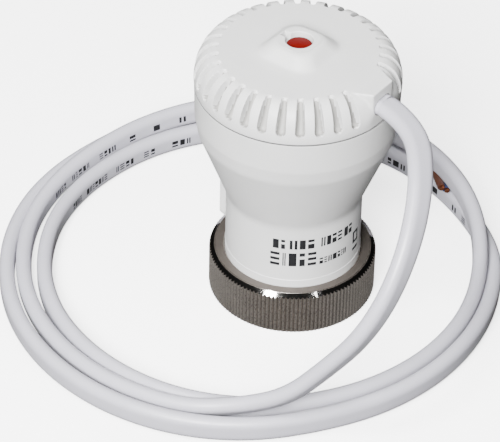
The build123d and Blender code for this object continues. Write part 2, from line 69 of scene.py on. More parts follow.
# ---- sizes, from the frame where it gives them -------------------------------------------------
OUTLET_AZIMUTH = math.radians(-36.0)
SEAM = box_mm("lower_housing")[1][2]
CAP_R = box_mm("cap")[1][0]
BOSS_TOP = box_mm("cap")[1][2]
CAP_TOP = BOSS_TOP - 2.6
NUT_R = box_mm("union_nut")[1][0]
NUT_TOP = box_mm("union_nut")[1][2]
BUTTON_TOP = box_mm("indicator")[1][2]
BUTTON_R = 2.8
HOLE_R = 2.98
NECK_R = 14.95
CABLE_Z = (box_mm("cable_sheath")[0][2] + box_mm("cable_sheath")[1][2]) / 2
CABLE_THICK = 3.4
CABLE_WIDTH = 5.6


# ---- mesh helpers ------------------------------------------------------------------------------
def add_object(name, mesh):
    """New object in the scene with that data."""
    obj = bpy.data.objects.new(name, mesh)
    bpy.context.scene.collection.objects.link(obj)
    return obj


def mesh_object(name, points, faces, smooth_angle=35.0):
    """Closed mesh from points in millimetres, with outward normals and smooth shading."""
    mesh = bpy.data.meshes.new(name)
    mesh.from_pydata((np.asarray(points, float) * MM).tolist(), [], faces)
    work = bmesh.new()
    work.from_mesh(mesh)
    bmesh.ops.recalc_face_normals(work, faces=work.faces)
    work.to_mesh(mesh)
    work.free()
    mesh.shade_smooth()
    mesh.set_sharp_from_angle(angle=math.radians(smooth_angle))
    return add_object(name, mesh)


def ring_faces(rows, columns, closed_rows=True):
    """Quads of a grid whose columns always close and whose rows may."""
    faces = []
    for i in range(rows if closed_rows else rows - 1):
        here, after = i * columns, (i + 1) % rows * columns
        for j in range(columns):
            k = (j + 1) % columns
            faces.append((here + j, here + k, after + k, after + j))
    return faces


def grid_object(name, grid, closed_rows=True, capped=False, smooth_angle=35.0):
    """Mesh from a (rows, columns, 3) grid of points."""
    rows, columns = grid.shape[:2]
    faces = ring_faces(rows, columns, closed_rows)
    if capped:
        faces.append(tuple(range(columns)))
        faces.append(tuple(range((rows - 1) * columns, rows * columns)))
    return mesh_object(name, grid.reshape(-1, 3), faces, smooth_angle)


def outline(corners, step=1.0, arc_step=0.12):
    """Closed outline of (radius, height, fillet) corners: fillets become arcs, long runs get points."""
    points, count = [], len(corners)
    for i, (x, y, fillet) in enumerate(corners):
        here = np.array((x, y), float)
        back = np.array(corners[i - 1][:2], float) - here
        on = np.array(corners[(i + 1) % count][:2], float) - here
        if fillet == 0:
            points.append(here)
            continue
        back_length, on_length = np.linalg.norm(back), np.linalg.norm(on)
        back, on = back / back_length, on / on_length
        half = math.acos(np.clip(back @ on, -1, 1)) / 2
        reach = min(fillet / math.tan(half), 0.48 * min(back_length, on_length))
        radius = reach * math.tan(half)
        middle = here + (back + on) / np.linalg.norm(back + on) * radius / math.sin(half)
        first, last = here + back * reach - middle, here + on * reach - middle
        start = math.atan2(first[1], first[0])
        sweep = (math.atan2(last[1], last[0]) - start + math.pi) % (2 * math.pi) - math.pi
        parts = max(3, math.ceil(abs(sweep) * radius / arc_step))
        for a in np.linspace(start, start + sweep, min(parts, 40) + 1):
            points.append(middle + radius * np.array((math.cos(a), math.sin(a))))
    full = []
    for a, b in zip(points, points[1:] + points[:1]):
        parts = max(1, math.ceil(np.linalg.norm(b - a) / step))
        full += [a + (b - a) * k / parts for k in range(parts)]
    return np.array(full)


def spun(profile, angles):
    """Grid of a profile of (radius, height) turned to each angle."""
    r, z = profile[:, :1], profile[:, 1:]
    return np.stack([r * np.cos(angles), r * np.sin(angles), z + 0 * angles], -1)


def soft_min(a, b, blend):
    """Smaller of two values, rounded off where they meet."""
    return 0.5 * (a + b - np.sqrt((a - b) ** 2 + blend ** 2))


def soft_max(a, b, blend):
    """Larger of two values, rounded off where they meet."""
    return 0.5 * (a + b + np.sqrt((a - b) ** 2 + blend ** 2))


def turned_about_z(points, angle):
    """Points turned about the vertical axis."""
    c, s = math.cos(angle), math.sin(angle)
    x, y, z = points[..., 0], points[..., 1], points[..., 2]
    return np.stack([c * x - s * y, s * x + c * y, z], -1)


# ---- materials ---------------------------------------------------------------------------------
def new_material(name):
    """Material with one Principled shader, and its object-coordinate socket."""
    made = bpy.data.materials.new(name)
    made.use_nodes = True
    nodes, links = made.node_tree.nodes, made.node_tree.links
    nodes.clear()
    shader = nodes.new("ShaderNodeBsdfPrincipled")
    output = nodes.new("ShaderNodeOutputMaterial")
    links.new(shader.outputs["BSDF"], output.inputs["Surface"])
    place = nodes.new("ShaderNodeTexCoord").outputs["Object"]
    return made, nodes, links, shader, place


def noise(nodes, links, place, size, detail=3.0, stretch=(1, 1, 1)):
    """Noise whose features are about that size in millimetres."""
    mapping = nodes.new("ShaderNodeMapping")
    mapping.inputs["Scale"].default_value = stretch
    links.new(place, mapping.inputs["Vector"])
    texture = nodes.new("ShaderNodeTexNoise")
    texture.inputs["Scale"].default_value = 1 / (size * MM)
    texture.inputs["Detail"].default_value = detail
    links.new(mapping.outputs["Vector"], texture.inputs["Vector"])
    return texture.outputs["Fac"]


def remap(nodes, links, value, low, high):
    """Noise stretched to a range of values."""
    node = nodes.new("ShaderNodeMapRange")
    node.inputs["From Min"].default_value = 0.3
    node.inputs["From Max"].default_value = 0.7
    node.inputs["To Min"].default_value = low
    node.inputs["To Max"].default_value = high
    links.new(value, node.inputs["Value"])
    return node.outputs["Result"]


def mixed(nodes, links, value, first, second):
    """Two colours mixed by noise."""
    ramp = nodes.new("ShaderNodeValToRGB")
    ramp.color_ramp.elements[0].position = 0.3
    ramp.color_ramp.elements[1].position = 0.7
    ramp.color_ramp.elements[0].color = (*first, 1)
    ramp.color_ramp.elements[1].color = (*second, 1)
    links.new(value, ramp.inputs["Fac"])
    return ramp.outputs["Color"]


def bumped(nodes, links, shader, heights):
    """Chain of bumps from (height socket, depth in millimetres, strength)."""
    before = None
    for height, depth, strength in heights:
        bump = nodes.new("ShaderNodeBump")
        bump.inputs["Distance"].default_value = depth * MM
        bump.inputs["Strength"].default_value = strength
        links.new(height, bump.inputs["Height"])
        if before is not None:
            links.new(before, bump.inputs["Normal"])
        before = bump.outputs["Normal"]
    links.new(before, shader.inputs["Normal"])


def shade(colour, factor):
    """Colour made darker or lighter."""
    return tuple(c * factor for c in colour)


def plastic(name, colour, roughness, grain=0.18, depth=0.012, gloss=0.5, glow=0.0):
    """Moulded plastic: spark-eroded grain, faint clouding and uneven sheen."""
    made, nodes, links, shader, place = new_material(name)
    clouds = noise(nodes, links, place, 9.0, 2.0)
    fine = noise(nodes, links, place, grain, 2.0)
    links.new(mixed(nodes, links, clouds, shade(colour, 0.965), colour), shader.inputs["Base Color"])
    uneven = noise(nodes, links, place, 3.0, 4.0)
    links.new(remap(nodes, links, uneven, roughness - 0.05, roughness + 0.05), shader.inputs["Roughness"])
    shader.inputs["Specular IOR Level"].default_value = gloss
    if glow:
        shader.inputs["Subsurface Weight"].default_value = glow
        shader.inputs["Subsurface Radius"].default_value = (1.0, 0.95, 0.85)
        shader.inputs["Subsurface Scale"].default_value = 0.9 * MM
    waves = noise(nodes, links, place, 14.0, 1.0)
    bumped(nodes, links, shader, [(waves, 0.25, 0.12), (fine, depth, 0.5)])
    return made


def metal(name, colour, roughness, grain=0.25, depth=0.008, stretch=(1, 1, 1), stain=0.85):
    """Plated or bare metal with fine machining marks and faint staining."""
    made, nodes, links, shader, place = new_material(name)
    shader.inputs["Metallic"].default_value = 1.0
    blotches = noise(nodes, links, place, 4.0, 5.0)
    links.new(mixed(nodes, links, blotches, shade(colour, stain), colour), shader.inputs["Base Color"])
    marks = noise(nodes, links, place, grain, 4.0, stretch)
    links.new(remap(nodes, links, marks, roughness * 0.75, roughness * 1.25), shader.inputs["Roughness"])
    bumped(nodes, links, shader, [(marks, depth, 0.6)])
    return made


MATERIALS = {
    "housing_white": plastic("housing_plastic", (0.50, 0.50, 0.495), 0.42, glow=0.08),
    "cap_white": plastic("cap_plastic", (0.53, 0.53, 0.525), 0.45, glow=0.08),
    "nut_nickel": metal("nickel_knurl", (0.54, 0.495, 0.455), 0.30, 0.12, 0.01, (1, 1, 0.2)),
    "spring_steel": metal("spring_steel", (0.42, 0.43, 0.45), 0.28),
    "zinc_steel": metal("zinc_steel", (0.60, 0.61, 0.63), 0.33),
    "brass": metal("brass", (0.72, 0.53, 0.25), 0.28),
    "contact_bronze": metal("contact_bronze", (0.64, 0.40, 0.20), 0.30),
    "plunger_grey": plastic("plunger_plastic", (0.10, 0.105, 0.11), 0.50),
    "frame_natural": plastic("frame_plastic", (0.62, 0.58, 0.50), 0.50),
    "cup_brown": plastic("phenolic", (0.10, 0.045, 0.025), 0.40),
    "heater_ceramic": plastic("heater_ceramic", (0.09, 0.09, 0.095), 0.65, 0.08, 0.02),
    "wax": plastic("wax", (0.62, 0.44, 0.20), 0.35, glow=0.3),
    "rubber_black": plastic("rubber", (0.02, 0.02, 0.022), 0.70, 0.1, 0.02),
    "indicator_red": plastic("button_red", (0.085, 0.0015, 0.001), 0.45, 0.12, 0.01, 0.08),
    "sheath_lilac_grey": plastic("pvc_sheath", (0.36, 0.355, 0.395), 0.38, 0.3, 0.01, 0.5, 0.08),
    "core_brown": plastic("core_brown", (0.055, 0.020, 0.011), 0.42),
    "core_blue": plastic("core_blue", (0.018, 0.032, 0.085), 0.42),
    "copper_tin": metal("copper", (0.30, 0.12, 0.06), 0.35),
}
NUT_CHAMFER = metal("nickel_polished", (0.42, 0.405, 0.385), 0.07, 0.6, 0.002, (1, 1, 1), 0.97)
NUT_FACE = metal("nickel_blasted", (0.17, 0.15, 0.134), 0.60, 0.10, 0.02)
# painted shade: a darker copy of the knurl's nickel for the valleys between the teeth
NUT_VALLEY_PAINTED_SHADE = metal("nickel_valley_painted_shade", (0.30, 0.27, 0.25), 0.35, 0.12, 0.01)
# painted shade: a darker copy of the cap plastic for the floors of the vent grooves
VENT_PAINTED_SHADE = plastic("cap_vent_painted_shade", (0.26, 0.255, 0.243), 0.6)
# painted shade: dark grey plastic on the faces inside the gap at the seam
SEAM_PAINTED_SHADE = plastic("seam_painted_shade", (0.13, 0.13, 0.13), 0.6)
INK = plastic("print_ink", (0.008, 0.008, 0.009), 0.5, 0.2, 0.004, 0.2)


def dress(piece, slot, body, *nodes, look=None, extra=()):
    """Give a piece its look and slot, put it on its body and let it stand for CAD nodes."""
    piece.data.materials.clear()
    for made in (look or MATERIALS[slot], *extra):
        piece.data.materials.append(made)
    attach(piece, body)
    if nodes:
        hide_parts(*nodes)
    return piece


def dress_cad_nodes():
    """Give every carried-over CAD node its slot's procedural material."""
    for entry in frame["record"]["subparts"]:
        node = frame["nodes"][entry["node"]]
        node.data.materials.clear()
        node.data.materials.append(MATERIALS[entry["material_slot"]])


# ---- lower housing -----------------------------------------------------------------------------
RIB_AZIMUTH = math.radians(172.0)
RIB_R = 16.3
RIB_HALF = 1.45
RIB_LOW = 17.6


def lower_housing():
    """Spigot, neck, cone and skirt with soft blends, and the moulded rib on the neck."""
    profile = outline([
        (6.5, 6.4, 0.2), (13.95, 6.4, 0.4), (13.95, 9.65, 0.1), (NECK_R + 0.08, 9.65, 0.2),
        (NECK_R + 0.08, 12.1, 0.06), (NECK_R, 12.2, 0.06), (NECK_R, 26.5, 7.0), (21.4, 43.5, 7.0),
        (21.95, 47.0, 6.0),
        (22.1, SEAM, 0.02),
        (20.1, SEAM, 0.1), (20.1, 49.0, 0.2), (19.4, 49.0, 0.2), (19.4, 43.5, 3.0),
        (14.3, 32.5, 0.5), (14.0, 30.0, 0.2), (12.9, 30.0, 0.2), (12.9, 9.4, 0.5), (6.5, 9.4, 0.2),
    ], step=0.5)
    angles = np.linspace(0, 2 * math.pi, 400, endpoint=False)
    near = np.radians(np.linspace(-9, 9, 41))
    far = (angles > near[-1]) & (angles < 2 * math.pi + near[0])
    angles = np.concatenate([near, angles[far]]) + RIB_AZIMUTH
    grid = spun(profile, angles)
    r, z = profile[:, :1], profile[:, 1:]
    across = np.abs(r * np.sin(angles - RIB_AZIMUTH)) + 99 * (np.cos(angles - RIB_AZIMUTH) < 0)
    wall = RIB_R - 6 * np.maximum(across - RIB_HALF, 0) - 1.1 * np.maximum(RIB_LOW + 0.8 - z, 0)
    outside = (r > NECK_R - 0.1) & (z > 12) & (z < 34)
    out = np.where(outside & (wall > r - 1.5), soft_max(r, wall, 0.18), r)
    grid[..., :2] *= (out / r)[..., None]
    shell = grid_object("lower_housing_shell", grid)
    dress(shell, "housing_white", "housing", "lower_housing", extra=(SEAM_PAINTED_SHADE,))
    # painted shade: the housing's upward faces at the seam get the dark grey plastic
    for face in shell.data.polygons:
        face.material_index = int(face.normal.z > 0.5 and face.center.z / MM > SEAM - 0.1)
    return shell


# ---- cap ---------------------------------------------------------------------------------------
GROOVES = 34
GROOVE_HALF = 1.0
GROOVE_TAPER = 0.05             # how much narrower each millimetre towards the top
GROOVE_DEPTH = 1.5
GROOVE_FOOT = np.array((21.6, 57.57))
GROOVE_DIRECTION = np.array((-0.4995, 0.8664))
GROOVE_NORMAL = np.array((0.8664, 0.4995))
RIM_R = 17.2
RIM_LOW = 56.2
OUTLET_FACE = 21.8
OUTLET_SIDE = (2.5, 5.8, 74.8)  # its side walls: a * x + b * |y| = c
VENT_SHADE = (0.6, 3.3)         # depths below the rim whose groove floors get painted shade, a darker cap plastic
RIM_SCALE = 5.5                 # turns the rim's relative depth into about a millimetre
PLATEAU_HALF, PLATEAU_CORNER = 4.9, 3.3
BOSS_FLARE = 2.2
NOTCH_REACH, NOTCH_HALF, NOTCH_DEPTH = 4.1, 0.72, 2.2


def rounded_square(angles, half, corner):
    """Polar radius of a rounded square with its flats square to the axes."""
    a = np.maximum(np.abs(np.cos(angles)), np.abs(np.sin(angles)))
    b = np.minimum(np.abs(np.cos(angles)), np.abs(np.sin(angles)))
    inner = half - corner
    on_arc = inner * (a + b) + np.sqrt(np.maximum(corner ** 2 - (inner * (a - b)) ** 2, 0))
    return np.where(half * b / a <= inner, half / a, on_arc)


def cap_columns(radius):
    """Azimuths of the cap's columns at a radius: fixed distances from each groove's middle."""
    fine = np.array((0, 0.3, 0.55, 0.72, 0.82, 0.88, 0.92, 0.96, 1.01, 1.08, 1.2, 1.36))
    fine = np.concatenate([-fine[:0:-1], fine])
    pitch = 2 * math.pi / GROOVES
    near = np.arcsin(fine / np.clip(radius, RIM_R, CAP_R))
    between = pitch / 2 + (pitch - 2 * near[-1]) * np.array((-0.25, 0, 0.25))
    one = np.concatenate([near, between])
    return np.concatenate([one + k * pitch for k in range(GROOVES)])


def grooved(r, z, angles):
    """The rim's surface with its vent grooves: pushed in along the groove's normal."""
    pitch = 2 * math.pi / GROOVES
    index = np.round(angles / pitch) % GROOVES
    offset = angles - np.round(angles / pitch) * pitch
    across, deep = r * np.sin(offset), r * np.cos(offset)
    place = np.stack([deep - GROOVE_FOOT[0], z - GROOVE_FOOT[1]], -1)
    along, height = place @ GROOVE_DIRECTION, place @ GROOVE_NORMAL
    off = np.where(along < 0, np.hypot(across, along), np.abs(across))
    half = GROOVE_HALF - GROOVE_TAPER * np.clip(along, 0, 7)
    share = off / half
    floor = -GROOVE_DEPTH * np.sqrt(1 - np.minimum(share, 0.99) ** 3) + 14 * np.maximum(off - 0.99 * half, 0)
    cut = soft_min(height, floor, 0.16) - height
    cut = np.where((index >= 2) & (index <= GROOVES - 2) & (off < 1.5) & (along > -1.6), cut, 0)
    deep, z = deep + GROOVE_NORMAL[0] * cut, z + GROOVE_NORMAL[1] * cut
    return np.hypot(deep, across), z, angles - offset + np.arctan2(across, deep)


def outlet_shape(r, z, normal, angles):
    """The rim filled out to the flat cable outlet, and cut back to its face."""
    turn = (angles + math.pi) % (2 * math.pi) - math.pi
    ahead = np.cos(turn) > 0.5
    a, b, c = OUTLET_SIDE
    side = c / (a * np.cos(turn) + b * np.abs(np.sin(turn)))
    face = OUTLET_FACE / np.where(ahead, np.cos(turn), 1)
    reach = soft_min(side, face, 0.25)
    outward = (reach - r) / np.maximum(normal[0], 0.02)
    upward = (CAP_TOP - z) / np.maximum(normal[1], 0.02)
    push = soft_max(soft_min(outward, upward, 0.3) - 0.1, 0, 0.12) - 0.03
    push = np.where(ahead & (outward > -0.6), np.maximum(push, 0), 0)
    r, z = r + normal[0] * push, z + normal[1] * push
    return np.where(ahead, soft_min(r, face, 0.12), r), z


def cap_rows():
    """Rows of (radii, heights, azimuths) from the hole's foot over the boss and rim to the hidden side."""
    rows = []
    edge = 0.2
    base = cap_columns(0)
    x_out, y_out = -np.cos(base), np.sin(base)

    def notch(r, z):
        """Height once the notch opposite the outlet is cut into the boss."""
        miss = np.maximum(np.abs(r * y_out) - NOTCH_HALF, r * x_out - NOTCH_REACH)
        miss = np.where(x_out > 0, miss, 9)
        return soft_min(z, BOSS_TOP - NOTCH_DEPTH + 9 * np.maximum(miss, 0), 0.1)

    rim_height = notch(HOLE_R + 0 * base, BOSS_TOP - edge)
    for share in np.linspace(0, 1, 8):
        rows.append((HOLE_R + 0 * base, 61.1 + share * (rim_height - 61.1), base))
    for a in np.radians((22, 45, 68, 90)):
        r = HOLE_R + edge * (1 - math.cos(a)) + 0 * base
        rows.append((r, notch(r, BOSS_TOP - edge * (1 - math.sin(a))), base))
    plateau = rounded_square(base, PLATEAU_HALF - 0.8, PLATEAU_CORNER - 0.4)
    for share in (0.2, 0.4, 0.6, 0.75, 0.85, 0.92, 1.0):
        r = (HOLE_R + edge) * (1 - share) + plateau * share
        rows.append((r, notch(r, BOSS_TOP + 0 * r), base))
    for t in np.linspace(-0.36, 1.5, 28):
        r = rounded_square(base, PLATEAU_HALF + BOSS_FLARE * t, PLATEAU_CORNER + 0.5 * t)
        bend = 0.28
        fall = 0.5 * (t + math.hypot(t, bend)) - 0.5 * (t - 1 + math.hypot(t - 1, bend))
        rows.append((r, notch(r, BOSS_TOP - (BOSS_TOP - CAP_TOP) * fall + 0 * r), base))
    last = rows[-1][0]
    for share in (0.1, 0.25, 0.4, 0.55, 0.7, 0.82, 0.92, 0.97):
        rows.append((last + (RIM_R - last) * share, CAP_TOP + 0 * base, base))
    semi_r, semi_z = CAP_R - RIM_R, CAP_TOP - RIM_LOW
    for a in np.linspace(math.pi / 2, 0, 70):
        r, z = RIM_R + semi_r * math.cos(a), RIM_LOW + semi_z * math.sin(a)
        normal = np.array((math.cos(a) / semi_r, math.sin(a) / semi_z))
        rows.append(shaped_row(r, z, normal / np.linalg.norm(normal)))
    for r, z in ((CAP_R, 55.8), (CAP_R - 0.04, 55.2), (CAP_R - 0.07, 54.9), (CAP_R - 0.09, 54.8),
                 (CAP_R - 0.11, SEAM + 0.35), (CAP_R - 0.16, SEAM + 0.33)):
        rows.append(shaped_row(r, z, np.array((1.0, 0.0))))
    for r, z in ((20.0, SEAM + 0.33), (20.0, 52.6), (20.3, 52.35), (20.3, 52.15), (20.0, 51.9),
                 (20.0, 51.1), (18.8, 51.1), (18.8, 58.8), (16.9, 61.1), (8.0, 61.1)):
        rows.append((r + 0 * base, z + 0 * base, base))
    return rows


def shaped_row(r, z, normal):
    """One row of the rim at (r, z), with outlet and grooves."""
    angles = cap_columns(r)
    radii, heights = outlet_shape(r + 0 * angles, z + 0 * angles, normal, angles)
    return grooved(radii, heights, angles)


def cap():
    """Upper shell with vent grooves, keyed boss and cable outlet."""
    rows = [np.stack([r * np.cos(a), r * np.sin(a), z + 0 * a], -1) for r, z, a in cap_rows()]
    grid = turned_about_z(np.array(rows), OUTLET_AZIMUTH)
    shell = grid_object("cap_shell", grid, smooth_angle=50)
    slot = flat_bar("slot_cutter", CABLE_WIDTH + 0.5, CABLE_THICK + 0.5, 16.0, 24.0)
    cut = shell.modifiers.new("slot", "BOOLEAN")
    cut.object, cut.operation, cut.solver = slot, "DIFFERENCE", "EXACT"
    mesh = bpy.data.meshes.new_from_object(shell.evaluated_get(bpy.context.evaluated_depsgraph_get()))
    shell.modifiers.clear()
    shell.data = mesh
    mesh.name = "cap_shell"
    bpy.data.objects.remove(slot)
    dress(shell, "cap_white", "housing", "cap", extra=(VENT_PAINTED_SHADE, SEAM_PAINTED_SHADE))
    semi_r, semi_z = CAP_R - RIM_R, CAP_TOP - RIM_LOW
    for face in mesh.polygons:
        x, y, z = face.center / MM
        r = math.hypot(x, y)
        rim = math.hypot(max(r - RIM_R, 0) / semi_r, max(z - RIM_LOW, 0) / semi_z)
        inward = (1 - rim) * RIM_SCALE
        in_painted_vent_shade = VENT_SHADE[0] < inward < VENT_SHADE[1] and r > 16.5 and z < CAP_TOP - 0.5
        # painted shade: upward faces deep in the vent grooves get the darker cap plastic
        if face.normal.z > 0.1 and in_painted_vent_shade:
            face.material_index = 1
        # painted shade: the cap's downward faces inside the seam gap get the dark grey plastic
        elif face.normal.z < -0.5 and r > 20 and z < SEAM + 0.5:
            face.material_index = 2
    return shell


def stadium(width, thick, parts=12):
    """Points round a flat oval section: (across the width, across the thickness)."""
    ends = np.linspace(-math.pi / 2, math.pi / 2, parts + 1)
    right = np.stack([(width - thick) / 2 + thick / 2 * np.cos(ends), thick / 2 * np.sin(ends)], -1)
    flat = (width - thick) * np.array((0.25, 0.0, -0.25))
    top = np.stack([flat, 0 * flat + thick / 2], -1)
    return np.concatenate([right, top, -right, -top])


def flat_bar(name, width, thick, start, stop):
    """Straight flat-oval bar along the outlet's direction."""
    section = stadium(width, thick)
    grid = np.array([np.stack([0 * section[:, 0] + x, section[:, 0], section[:, 1] + CABLE_Z], -1)
                     for x in (start, stop)])
    return grid_object(name, turned_about_z(grid, OUTLET_AZIMUTH), closed_rows=False, capped=True)


# ---- union nut ---------------------------------------------------------------------------------
KNURL_TEETH = 126
KNURL_DEPTH = 0.36
KNURL_TOP = 9.7
THREAD_R, THREAD_ROOT_R, THREAD_PITCH = 14.19, 14.98, 1.5
THREAD_LOW, THREAD_HIGH = 0.8, 6.3


def union_nut():
    """Knurled nut with a polished crown chamfer, a blasted top face and a real thread inside."""
    columns = KNURL_TEETH * 8
    angles = np.linspace(0, 2 * math.pi, columns, endpoint=False)
    tooth = angles * KNURL_TEETH / (2 * math.pi) % 1
    wave = np.clip(1.6 - 3.6 * np.abs(tooth - 0.5), 0, 1)
    crown = NUT_R - 1.2
    rows = []

    def row(r, z):
        rows.append((r + 0 * angles, z + 0 * angles))

    for r, z in ((15.1, 0.0), (16.2, 0.0), (17.4, 0.0), (18.1, 0.01)):
        row(r, z)
    slope = 1.2 / (NUT_TOP - KNURL_TOP)
    rib = NUT_R - KNURL_DEPTH * (1 - wave)
    for z in (0.06, 0.15, 0.25, 0.35, 0.5, 2.5, 5.0, 7.5, 9.2):
        rows.append((soft_min(rib, NUT_R - 0.3 + z, 0.06), z + 0 * angles))
    edge = KNURL_TOP + (NUT_R - rib) / slope
    for share in (0, 0.15, 0.3, 0.45, 0.6, 0.75, 0.9, 1):
        z = edge + (10.42 - edge) * share
        rows.append((NUT_R - (z - KNURL_TOP) * slope, z))
    for a in np.radians((15, 45, 75)):
        row(crown - 0.12 + 0.12 * math.cos(a), NUT_TOP - 0.12 + 0.12 * math.sin(a))
    for r in (17.0, 16.5, 16.0, 15.55):
        row(r, NUT_TOP)
    for r, z in ((15.38, NUT_TOP - 0.03), (15.28, NUT_TOP - 0.12), (15.25, NUT_TOP - 0.3), (15.25, 9.6),
                 (14.35, 9.6), (14.35, 8.2), (15.9, 8.2), (15.9, THREAD_HIGH + 0.4)):
        row(r, z)
    for z in np.linspace(THREAD_HIGH + 0.2, THREAD_LOW, 45):
        phase = (z / THREAD_PITCH - angles / (2 * math.pi)) % 1
        groove = np.clip(1.25 * (1 - 2 * np.abs(phase - 0.5)) - 0.12, 0, 1)
        rows.append((THREAD_R + (THREAD_ROOT_R - THREAD_R) * groove, z + 0 * angles))
    row(15.0, 0.15)
    r, z = (np.array(x) for x in zip(*rows))
    grid = np.stack([r * np.cos(angles), r * np.sin(angles), z], -1)
    nut = grid_object("union_nut_knurled", grid, smooth_angle=28)
    dress(nut, "nut_nickel", "nut", "union_nut", extra=(NUT_CHAMFER, NUT_FACE, NUT_VALLEY_PAINTED_SHADE))
    for face in nut.data.polygons:
        x, y, z = face.center / MM
        r, up = math.hypot(x, y), face.normal.z
        if up > 0.95 and z > NUT_TOP - 0.3:
            face.material_index = 2
        elif up > 0.6 and z > KNURL_TOP - 0.1 and r > crown - 0.3:
            face.material_index = 1
        # painted shade: faces deep in the knurl's valleys get the darker nickel
        elif r < NUT_R - 0.7 * KNURL_DEPTH and r > 17.9 and 0.3 < z < KNURL_TOP + 0.3:
            face.material_index = 3
    return nut


# ---- button and spring -------------------------------------------------------------------------
def button():
    """Red position button: shallow dome, rounded edge, stem and foot."""
    foot = box_mm("indicator")[0][2]
    corners = [(0.001, foot, 0), (3.15, foot, 0.15), (3.15, foot + 0.8, 0.2), (1.5, foot + 0.8, 0.3),
               (1.5, 62.0, 0.2), (BUTTON_R, 62.4, 0.1), (BUTTON_R, BUTTON_TOP - 0.2, 0.22),
               (1.4, BUTTON_TOP - 0.06, 1.0), (0.001, BUTTON_TOP, 0)]
    profile = outline(corners, step=0.4, arc_step=0.05)
    angles = np.linspace(0, 2 * math.pi, 96, endpoint=False)
    piece = grid_object("position_button", spun(profile, angles), closed_rows=False, capped=True)
    return dress(piece, "indicator_red", "plunger", "indicator")


def tube_grid(line, radius, parts=16):
    """Round tube about a line of points, with a frame carried along it."""
    tangents = np.gradient(line, axis=0)
    tangents /= np.linalg.norm(tangents, axis=1)[:, None]
    side = np.cross(tangents[0], (0.31, 0.2, 0.93))
    around = np.linspace(0, 2 * math.pi, parts, endpoint=False)
    rings = []
    for point, tangent in zip(line, tangents):
        side = side - tangent * (side @ tangent)
        side /= np.linalg.norm(side)
        other = np.cross(tangent, side)
        rings.append(point + radius * (np.outer(np.cos(around), side) + np.outer(np.sin(around), other)))
    return np.array(rings)


def main_spring():
    """Closing spring with closed end coils."""
    low, high = box_mm("main_spring")[0][2], box_mm("main_spring")[1][2]
    wire, mean_r, active, closed = 0.8, 9.6, 3.6, 0.9
    turns = np.linspace(0, active + 2 * closed, 420)
    lift = np.clip((turns - closed) / active, 0, 1)
    heights = low + wire + (high - low - 2 * wire) * lift
    around = 2 * math.pi * turns
    line = np.stack([mean_r * np.cos(around), mean_r * np.sin(around), heights], -1)
    piece = grid_object("closing_spring", tube_grid(line, wire), closed_rows=False, capped=True)
    dress(piece, "spring_steel", "housing", "main_spring")
    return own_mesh(piece)


# ---- flat lead ---------------------------------------------------------------------------------
ROUTE = [
    (24.4, -20.6, 58.8),
    (25.3, -33.6, 55.9),
    (23.5, -43.8, 48.8),
    (19.4, -50.3, 38.8),
    (13.9, -52.7, 28.9),
    (7.0, -51.7, 19.6),
    (-0.8, -50.5, 10.4),
    (-10.8, -48.5, 5.6),
]
COIL_CENTRE = np.array((-9.5, 4.0))
COIL_MARKS = np.array([         # turn angle from the right, clockwise; radius; height
    (104, 52.5, 3.6), (130, 51.6, 2.8), (180, 50.4, 2.8), (200, 50.4, 3.5), (227, 48.7, 5.8),
    (254, 50.2, 6.6), (285, 50.6, 8.2), (305, 50.7, 9.4), (330, 51.0, 9.8), (352, 51.6, 8.6),
    (376, 51.5, 2.8), (433, 50.4, 2.8), (465, 49.8, 2.8), (500, 47.6, 2.8), (540, 45.6, 2.8),
    (579, 45.0, 2.8), (612, 46.4, 2.8), (640, 48.2, 2.8), (675, 50.4, 2.8), (700, 51.8, 2.8),
    (720, 54.9, 2.8), (760, 55.2, 2.8), (794, 55.2, 2.8), (811, 56.6, 2.8), (830, 57.2, 2.8),
    (860, 56.2, 2.8), (900, 53.9, 2.8), (947, 51.7, 2.8), (974, 53.1, 2.8), (1010, 53.9, 2.8),
    (1034, 54.2, 2.8),
])
COIL_STEP = 15.0
CHORD_SHARE = 0.9915            # how far the spline stays inside points that far apart
EXIT = np.array((22.5 * math.cos(OUTLET_AZIMUTH), 22.5 * math.sin(OUTLET_AZIMUTH), CABLE_Z))


def lead_points():
    """Control points of the lead: the listed free stretch, then the coil's turns by a loop."""
    points = [tuple(EXIT)] + ROUTE
    first, last = COIL_MARKS[0][0], COIL_MARKS[-1][0]
    for turn in np.append(np.arange(first, last - 0.6 * COIL_STEP, COIL_STEP), last):
        radius = np.interp(turn, COIL_MARKS[:, 0], COIL_MARKS[:, 1]) / CHORD_SHARE
        height = np.interp(turn, COIL_MARKS[:, 0], COIL_MARKS[:, 2])
        a = math.radians(turn)
        x, y = COIL_CENTRE + radius * np.array((math.cos(a), -math.sin(a)))
        points.append((x, y, height))
    return points


def lead_curve(name, points):
    """Order-3 NURBS curve through the control points' hull, starting and ending on its end points."""
    data = bpy.data.curves.new(name, "CURVE")
    data.dimensions = "3D"
    data.resolution_u = 8
    spline = data.splines.new("NURBS")
    spline.points.add(len(points) - 1)
    for point, place in zip(spline.points, points):
        point.co = (*(np.array(place) * MM), 1)
    spline.order_u = 3
    spline.use_endpoint_u = True
    return add_object(name, data)


def curve_line(curve):
    """The curve's own points, in millimetres."""
    mesh = bpy.data.meshes.new_from_object(curve)
    line = np.array([v.co for v in mesh.vertices]) / MM
    bpy.data.meshes.remove(mesh)
    return line


def distances(line):
    """Distance of each point along a line."""
    return np.concatenate([[0], np.cumsum(np.linalg.norm(np.diff(line, axis=0), axis=1))])


def evenly(line, step):
    """The same line with points at even distances."""
    at = distances(line)
    places = np.linspace(0, at[-1], math.ceil(at[-1] / step) + 1)
    return np.stack([np.interp(places, at, line[:, k]) for k in range(3)], -1)


WIDE_KEYS = [                   # distance along the lead, direction of its wide side
    (0, (0.588, 0.809, 0.0)), (10, (0.75, 0.62, -0.1)), (30, (0.76, 0.5, -0.42)),
    (60, (0.48, 0.63, -0.60)), (92, (0.1, 0.62, -0.78)), (120, (0.2, 0.42, -0.88)),
    (150, (0.15, 0.1, -0.98)), (175, (0.0, 0.0, -1.0)),
]


